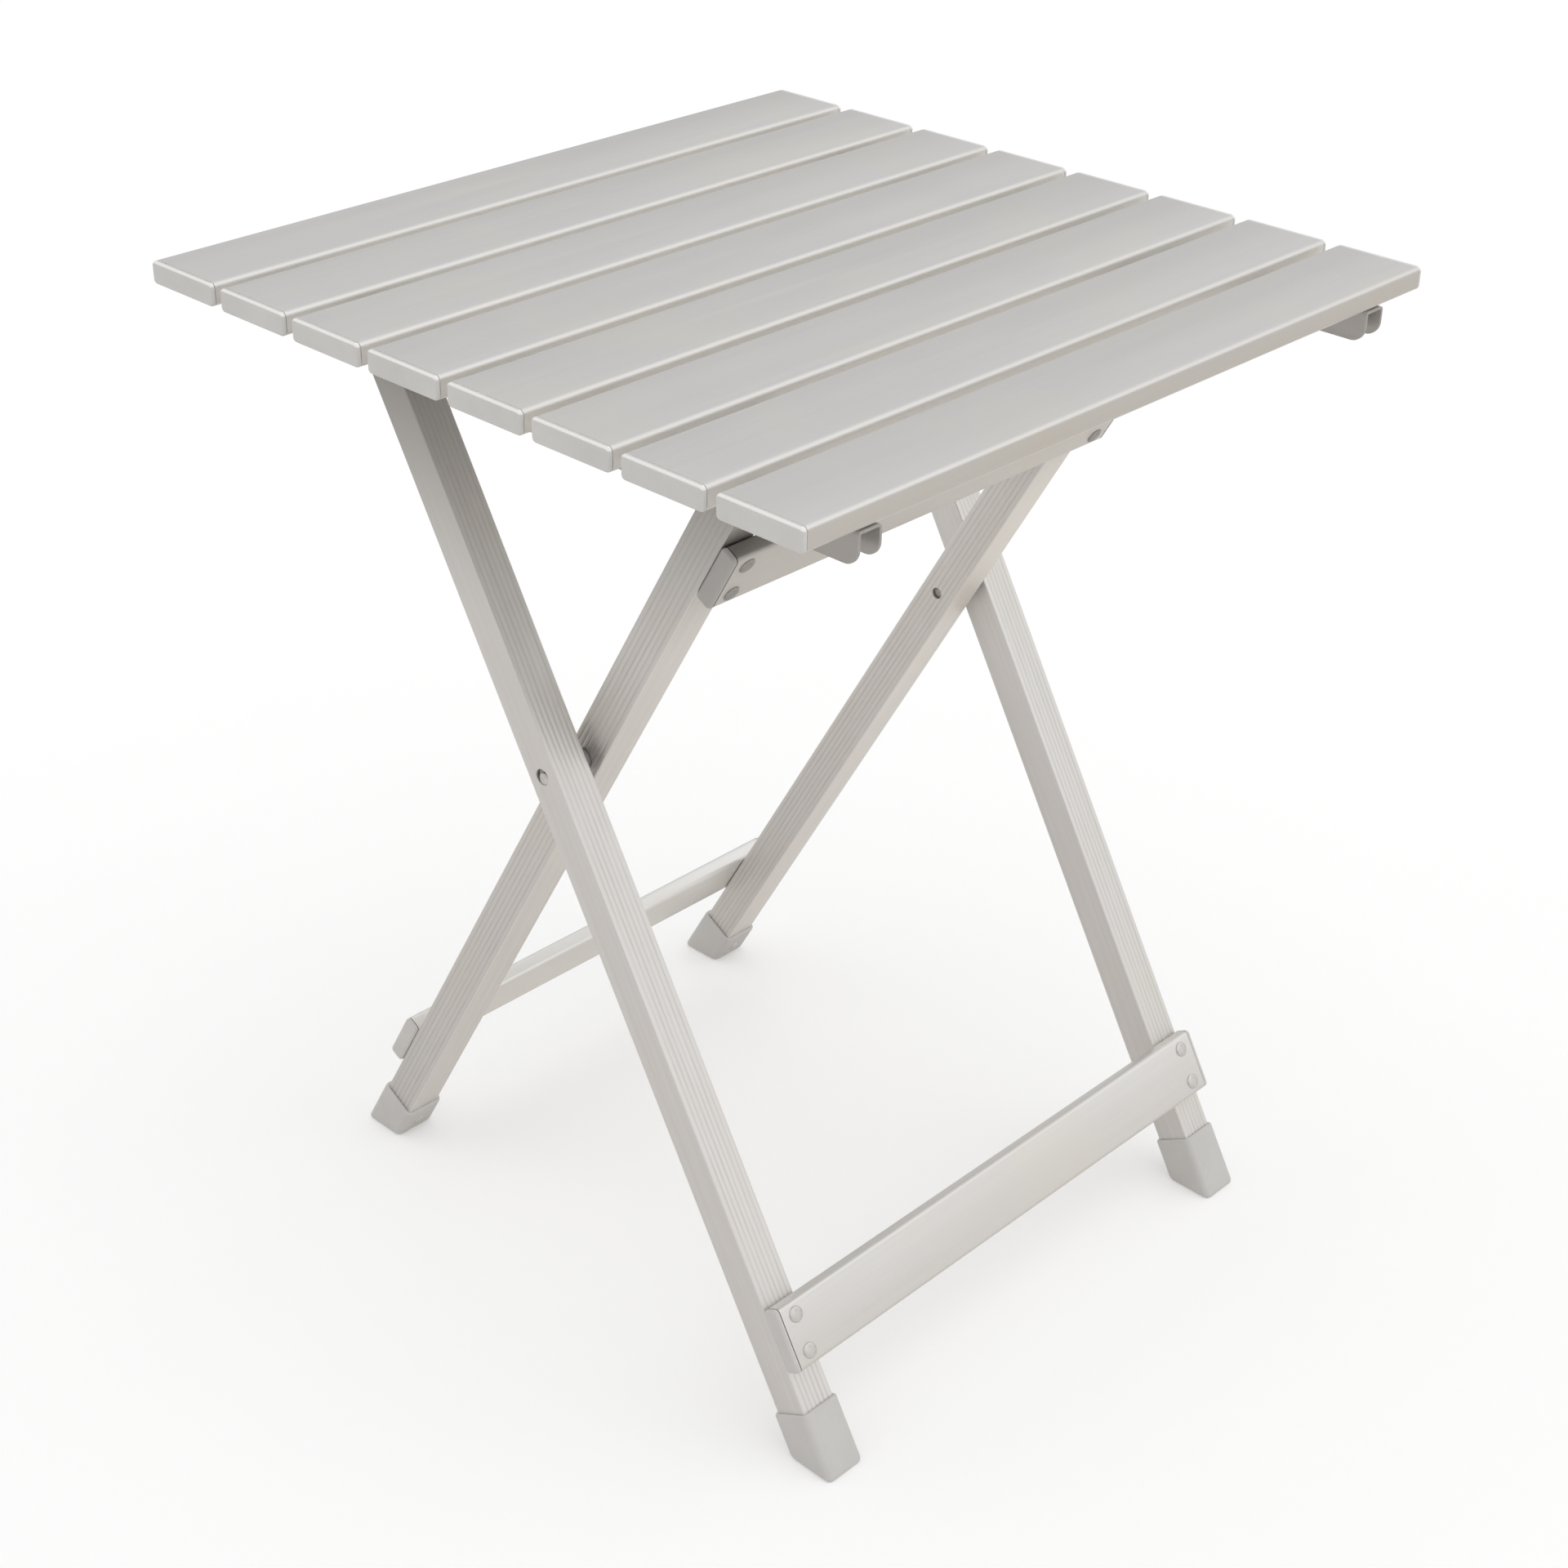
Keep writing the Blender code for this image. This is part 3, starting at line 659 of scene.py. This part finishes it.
def loft(name, rings, finish, sharp):
    """Return a closed piece through rings of points. The last ring may be a single point."""
    cage = bmesh.new()
    rows = [[cage.verts.new(point) for point in ring] for ring in rings]
    for lower, upper in zip(rows, rows[1:]):
        for step in range(len(lower)):
            after = (step + 1) % len(lower)
            if len(upper) == 1:
                cage.faces.new((lower[step], lower[after], upper[0]))
            else:
                cage.faces.new((lower[step], lower[after], upper[after], upper[step]))
    cage.faces.new(rows[0])
    if len(rows[-1]) > 1:
        cage.faces.new(rows[-1])
    return mesh_piece(name, cage, finish, sharp)


# ---------------------------------------------------------------- rivets
def rivet_profile(radius, height, dimple=0.0):
    """Return a domed head's outline from its rim to its middle, with a shallow dimple of the given radius."""
    rim = RIVET_RIM * height
    shoulder = RIVET_SHOULDER * radius
    points = [(RIVET_FOOT * radius, -RIVET_SINK), (radius, RIVET_WIDEST * rim), (shoulder, rim)]
    for angle in quarter(DOME_STEPS)[1:-1]:
        across = shoulder * math.cos(angle)
        if across < dimple:
            break
        points.append((across, rim + (height - rim) * math.sin(angle)))
    if not dimple:
        return points + [(0, height)]
    lip = points[-1][1]
    bed = lip - DIMPLE_DEPTH * height
    points += [(dimple, lip), (DIMPLE_WALL * dimple, bed), (DIMPLE_CROWN * dimple, bed + DIMPLE_CROWN_RISE)]
    return points + [(0, bed + DIMPLE_MIDDLE_RISE)]


def rivet(name, profile, finish, point, outward, body):
    """Turn a profile into a rivet head that stands on a point, faces outward and rides on a body."""
    rings = []
    for radius, height in profile:
        angles = [step / TURN_STEPS * 2 * math.pi for step in range(TURN_STEPS if radius else 1)]
        rings.append([(radius * math.cos(angle), radius * math.sin(angle), height) for angle in angles])
    piece = loft(name, rings, finish, SHARP_RIVET)
    turn = Vector((0, 0, 1)).rotation_difference(Vector(outward)).to_matrix().to_4x4()
    piece.matrix_world = Matrix.Translation(point) @ turn
    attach(piece, body)


def bar_rivets(bar, legs, face, middle, finish):
    """Put a pair of rivets where a crossbar lies on each leg."""
    profile = rivet_profile(BAR_RIVET_RADIUS, BAR_RIVET_HEIGHT)
    outward = frame_outward(legs.turn, face)
    for side, sign in SIDES:
        for row, shift in (("upper", BAR_RIVET_SPREAD), ("lower", -BAR_RIVET_SPREAD)):
            point = frame_point(legs.turn, sign * legs.leg_x, face * BAR_FACE, middle + shift)
            rivet(f"{bar}_rivet_{side}_{row}", profile, finish, point, outward, legs.body)


def boot_rivets(boots, legs, face):
    """Put a small rivet in each boot, on its short side."""
    profile = rivet_profile(BOOT_RIVET_RADIUS, BOOT_RIVET_HEIGHT)
    outward = frame_outward(legs.turn, face)
    for side, sign in SIDES:
        point = frame_point(legs.turn, sign * legs.leg_x, face * BOOT_HALF, BOOT_RIVET_UP)
        rivet(f"{boots}_{side}_rivet", profile, BRIGHT_STEEL, point, outward, legs.body)


def slat_rivets():
    """Put a rivet through each rail's web into every slat, with its head inside the channel."""
    profile = rivet_profile(SLAT_RIVET_RADIUS, SLAT_RIVET_HEIGHT, SLAT_RIVET_DIMPLE)
    for side, sign in SIDES:
        web = f"side_rail_{side}_web"
        for number in range(1, SLATS + 1):
            near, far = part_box(f"slat_{number}")
            point = Vector((middle_x(web), (near.y + far.y) / 2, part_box(web)[0].z))
            rivet(f"slat_{number}_rivet_{side}", profile, RIVET_METAL, point, (0, 0, -1), "top")


def pivot_rivets():
    """Back each pivot's access holes with dull plates that paint the shade inside the holes, and set the
    rivet's head and tail a little off centre, the tail in the same painted shade.
    """
    head = rivet_profile(PIVOT_HEAD_RADIUS, PIVOT_HEAD_HEIGHT, PIVOT_HEAD_DIMPLE)
    tail = rivet_profile(PIVOT_TAIL_RADIUS, PIVOT_HEAD_HEIGHT, PIVOT_TAIL_DIMPLE)
    plate = ((PIVOT_PLATE_RADIUS, 0.0), (PIVOT_PLATE_RADIUS, PIVOT_PLATE_SHEET), (0, PIVOT_PLATE_SHEET))
    outer_face = OUTER.leg_x + LEG_HALF
    inner_face = INNER.leg_x - LEG_HALF
    pieces = (
        # Name, profile, finish, how far out it stands, its shift along Y and Z, and its frame.
        ("pivot_shade_plate_outer_frame", plate, SHADED_RIVET_METAL, outer_face - PIVOT_PLATE_DEPTH, (0, 0), OUTER),
        ("pivot_shade_plate_inner_frame", plate, SHADED_RIVET_METAL, inner_face + PIVOT_PLATE_DEPTH, (0, 0), INNER),
        ("pivot_head", head, RIVET_METAL, outer_face - PIVOT_HEAD_DEPTH, PIVOT_HEAD_SHIFT, OUTER),
        ("pivot_tail", tail, SHADED_RIVET_METAL, inner_face + PIVOT_TAIL_DEPTH, PIVOT_TAIL_SHIFT, INNER),
    )
    for side, sign in SIDES:
        for name, profile, finish, out, shift, legs in pieces:
            facing = sign if legs is OUTER else -sign
            point = PIVOT + Vector((sign * out, *shift))
            rivet(f"{name}_{side}", profile, finish, point, (facing, 0, 0), legs.body)


# ---------------------------------------------------------------- boots, end caps and side rails
def boot(name, legs, sign):
    """Replace a plain boot: a sleeve with a soft rim that hugs the leg, and a flat sole with a round edge."""
    rings = []

    def ring(half, corner, height):
        """Add a square ring; height gives how far it is up the leg from how far off the middle it is."""
        points = outline(2 * half, 2 * half, corner)
        middle = sign * legs.leg_x
        rings.append([frame_point(legs.turn, middle + across, off, height(off)) for across, off in points])

    def square_to_leg(down):
        return lambda off: -down

    def level_with_floor(z):
        return lambda off: (z - PIVOT.z - math.sin(legs.turn) * off) / math.cos(legs.turn)

    ring(SOCKET_HALF, SOCKET_CORNER, square_to_leg(SOCKET_DOWN))
    ring(SOCKET_HALF, SOCKET_CORNER, square_to_leg(BOOT_RIM_DOWN + BOOT_RIM_ROUND / 5))
    for angle in quarter(BOOT_STEPS):
        inset = BOOT_RIM_ROUND * (1 - math.sin(angle))
        down = BOOT_RIM_DOWN + BOOT_RIM_ROUND * (1 - math.cos(angle))
        ring(BOOT_HALF - inset, BOOT_CORNER - inset, square_to_leg(down))
    for angle in quarter(BOOT_STEPS):
        inset = SOLE_ROUND * (1 - math.cos(angle))
        z = SOLE_ROUND * (1 - math.sin(angle))
        ring(BOOT_HALF - inset, BOOT_CORNER - inset, level_with_floor(z))
    piece = loft(name + "_moulding", rings, BOOT_PLASTIC, SHARP_BOOT)
    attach(piece, legs.body)
    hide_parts(name)


def end_cap(name, body, turn, section, finish):
    """Replace one plain cap with a moulded plate whose outer edge is well rounded."""
    low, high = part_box(name)
    middle = (low + high) / 2
    sign = math.copysign(1, middle.x)
    face = max(abs(low.x), abs(high.x))
    bar_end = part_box(name.rsplit("_cap_", 1)[0])[1].x
    thick = face - CAP_SEAM - bar_end
    stations = [(CAP_CHAMFER, 0.0), (0.0, CAP_CHAMFER)]
    for angle in quarter(FILLET_STEPS):
        stations.append((CAP_FILLET * (1 - math.cos(angle)), thick - CAP_FILLET * (1 - math.sin(angle))))
    width, height = section
    lean = Matrix.Rotation(turn, 3, "X")
    rings = []
    for inset, depth in stations:
        centre = Vector((sign * (face - thick + depth), middle.y, middle.z))
        points = outline(width - 2 * inset, height - 2 * inset, CAP_CORNER - inset)
        rings.append([centre + lean @ Vector((0, across, up)) for across, up in points])
    piece = loft(name + "_moulding", rings, finish, SHARP_CAP)
    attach(piece, body)
    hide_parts(name)


def side_rail(side):
    """Replace a rail's three strips with one folded sheet: round bends above, round corners at its ends."""
    strips = [f"side_rail_{side}_{part}" for part in ("web", "inner", "outer")]
    boxes = [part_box(strip) for strip in strips]
    left = min(low.x for low, high in boxes)
    right = max(high.x for low, high in boxes)
    top = max(high.z for low, high in boxes)
    reach = max(high.y for low, high in boxes)
    straight = top - min(low.z for low, high in boxes) - RAIL_CORNER
    half = (right - left) / 2
    section = []
    for angle in quarter(RAIL_CORNER_STEPS):
        section.append((-half, -straight - RAIL_CORNER * math.cos(angle)))
    for angle in quarter(RAIL_BEND_STEPS):
        section.append((-half + RAIL_BEND * (1 - math.cos(angle)), -RAIL_BEND * (1 - math.sin(angle))))
    section += [(-x, z) for x, z in reversed(section)]
    cage = bmesh.new()
    rows = []
    for x, z in section:
        past = max(0.0, -z - straight)
        end = reach - RAIL_CORNER + math.sqrt(max(0.0, RAIL_CORNER ** 2 - past ** 2))
        rows.append([cage.verts.new(((left + right) / 2 + x, y, top + z)) for y in (-end, end)])
    for first, second in zip(rows, rows[1:]):
        cage.faces.new((first[0], first[1], second[1], second[0]))
    piece = mesh_piece(f"side_rail_{side}_channel", cage, RAIL_METAL, SHARP_RAIL)
    sheet = piece.modifiers.new("Sheet", "SOLIDIFY")
    sheet.thickness = RAIL_SHEET
    sheet.offset = -1
    sheet.use_even_offset = True
    edge = piece.modifiers.new("Edge", "BEVEL")
    edge.width = RAIL_EDGE
    edge.segments = 2
    edge.angle_limit = RAIL_EDGE_ANGLE
    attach(piece, "top")
    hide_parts(*strips)


# ---------------------------------------------------------------- floor, light and camera
def floor():
    """Make a plain pale floor. The light that it throws back is a little warmer than it looks."""
    cage = bmesh.new()
    bmesh.ops.create_grid(cage, x_segments=1, y_segments=1, size=FLOOR_HALF)
    mesh = bpy.data.meshes.new("studio_floor")
    cage.to_mesh(mesh)
    cage.free()
    look = Look("studio_floor_paint")
    seen = look.mix(look.noise(look.place, FLOOR_CLOUDS, 2), FLOOR_SHADE, FLOOR_LIGHT)
    direct = look.seen_directly()
    look.set(Base_Color=look.mix(direct, FLOOR_BOUNCE, seen), Roughness=0.9, Specular_IOR_Level=0.1)
    look.set(Emission_Color=(1.0, 1.0, 1.0), Emission_Strength=look.product(direct, FLOOR_GLOW))
    mesh.materials.append(look.material)
    ground = bpy.data.objects.new("studio_floor", mesh)
    bpy.context.scene.collection.objects.link(ground)


def studio():
    """Light the table from broad soft sources all round, strongest above and at the front right."""
    world = bpy.data.worlds.new("studio_world")
    bpy.context.scene.world = world
    world.use_nodes = True
    sky = Graph(world.node_tree)
    heading = sky.add("ShaderNodeTexCoord").outputs["Generated"]
    light = AMBIENT
    for direction, sharpness, colour in LIGHT_LOBES:
        towards = {0: heading, 1: Vector(direction).normalized()}
        facing = sky.add("ShaderNodeVectorMath", towards, operation="DOT_PRODUCT").outputs["Value"]
        lobe = sky.maths("POWER", sky.maths("MAXIMUM", facing), sharpness, use_clamp=True)
        gather = {0: lobe, 1: colour, 2: light}
        light = sky.add("ShaderNodeVectorMath", gather, operation="MULTIPLY_ADD").outputs[0]
    background = world.node_tree.nodes["Background"]
    sky.plug(background.inputs["Color"], sky.mix(sky.seen_directly(), light, BACKDROP))


def camera():
    """Make the camera."""
    level = math.cos(CAMERA_ELEVATION)
    ahead = (math.sin(CAMERA_AZIMUTH) * level, math.cos(CAMERA_AZIMUTH) * level, -math.sin(CAMERA_ELEVATION))
    forward = Vector(ahead)
    lens = bpy.data.cameras.new("camera")
    lens.lens = CAMERA_LENS
    lens.sensor_width = CAMERA_SENSOR
    viewer = bpy.data.objects.new("camera", lens)
    turn = forward.to_track_quat("-Z", "Y").to_matrix().to_4x4() @ Matrix.Rotation(CAMERA_ROLL, 4, "Z")
    viewer.matrix_world = Matrix.Translation(CAMERA_AIM - CAMERA_DISTANCE * forward) @ turn
    bpy.context.scene.collection.objects.link(viewer)
    bpy.context.scene.camera = viewer


# ---------------------------------------------------------------- the table in its studio
SOFT_SHADING = soft_shading()
for node_name, cad_node in frame["nodes"].items():
    refine(node_name, cad_node, SOFT_SHADING)

bar_rivets("front_bar", OUTER, FRONT, FRONT_BAR_UP, RIVET_METAL)
# Painted shade: the top bar's rivets take the darker rivet metal.
bar_rivets("top_bar", INNER, FRONT, TOP_BAR_UP, SHADED_RIVET_METAL)
bar_rivets("back_bar", INNER, BACK, BACK_BAR_UP, RIVET_METAL)
for side, sign in SIDES:
    boot(f"front_boot_{side}", OUTER, sign)
    boot(f"back_boot_{side}", INNER, sign)
boot_rivets("front_boot", OUTER, BACK)
boot_rivets("back_boot", INNER, FRONT)
slat_rivets()
pivot_rivets()
for side, sign in SIDES:
    side_rail(side)
    for number in range(1, SLATS + 1):
        end_cap(f"slat_{number}_cap_{side}", "top", 0, SLAT_SECTION, CAP_PLASTIC)
    end_cap(f"front_bar_cap_{side}", OUTER.body, OUTER.turn, BAR_SECTION, BAR_CAP_PLASTIC)
    end_cap(f"top_bar_cap_{side}", INNER.body, INNER.turn, BAR_SECTION, SHADED_TOP_BAR_CAP_PLASTIC)
    end_cap(f"back_bar_cap_{side}", INNER.body, INNER.turn, BAR_SECTION, BAR_CAP_PLASTIC)

floor()
studio()
camera()
bpy.context.scene.view_settings.view_transform = "Standard"

bpy.context.view_layer.update()
